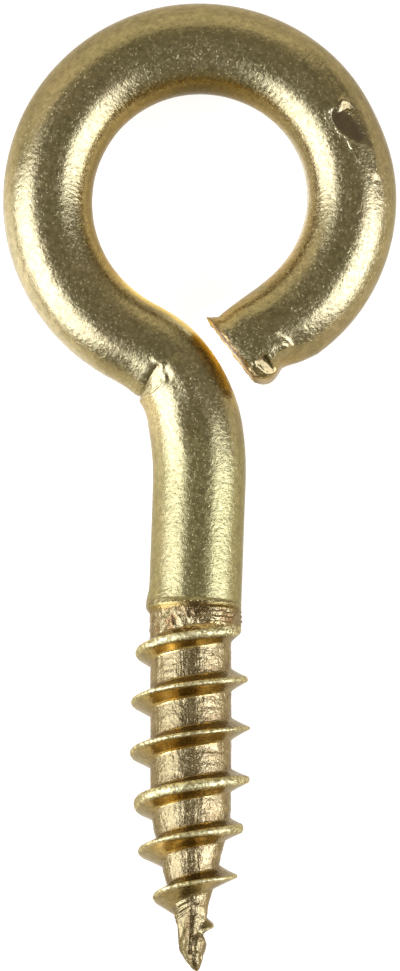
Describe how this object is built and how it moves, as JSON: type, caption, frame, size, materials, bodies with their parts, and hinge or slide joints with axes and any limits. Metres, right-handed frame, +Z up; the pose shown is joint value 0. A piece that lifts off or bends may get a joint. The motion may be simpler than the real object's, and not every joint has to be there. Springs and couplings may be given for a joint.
{
  "type": "screw eye",
  "caption": "Small brass-plated wire screw eye: an open round eye bent on a short shank, with a coarse wood-screw thread and a gimlet point.",
  "frame": {"origin": "middle of the object's box in X and Y, on the surface it lies on", "axes": "+Y along the screw towards the eye, +Z up out of the surface that it lies on, the thread's point towards -Y"},
  "size_m": [0.0122, 0.03, 0.0037],
  "materials": {
    "brass_plate": "bright brass plating with a fine satin grain, pinkish and scuffed on the rolled thread and the cut end"
  },
  "bodies": {
    "root": {"screw_eye": "brass_plate"}
  },
  "joints": []
}
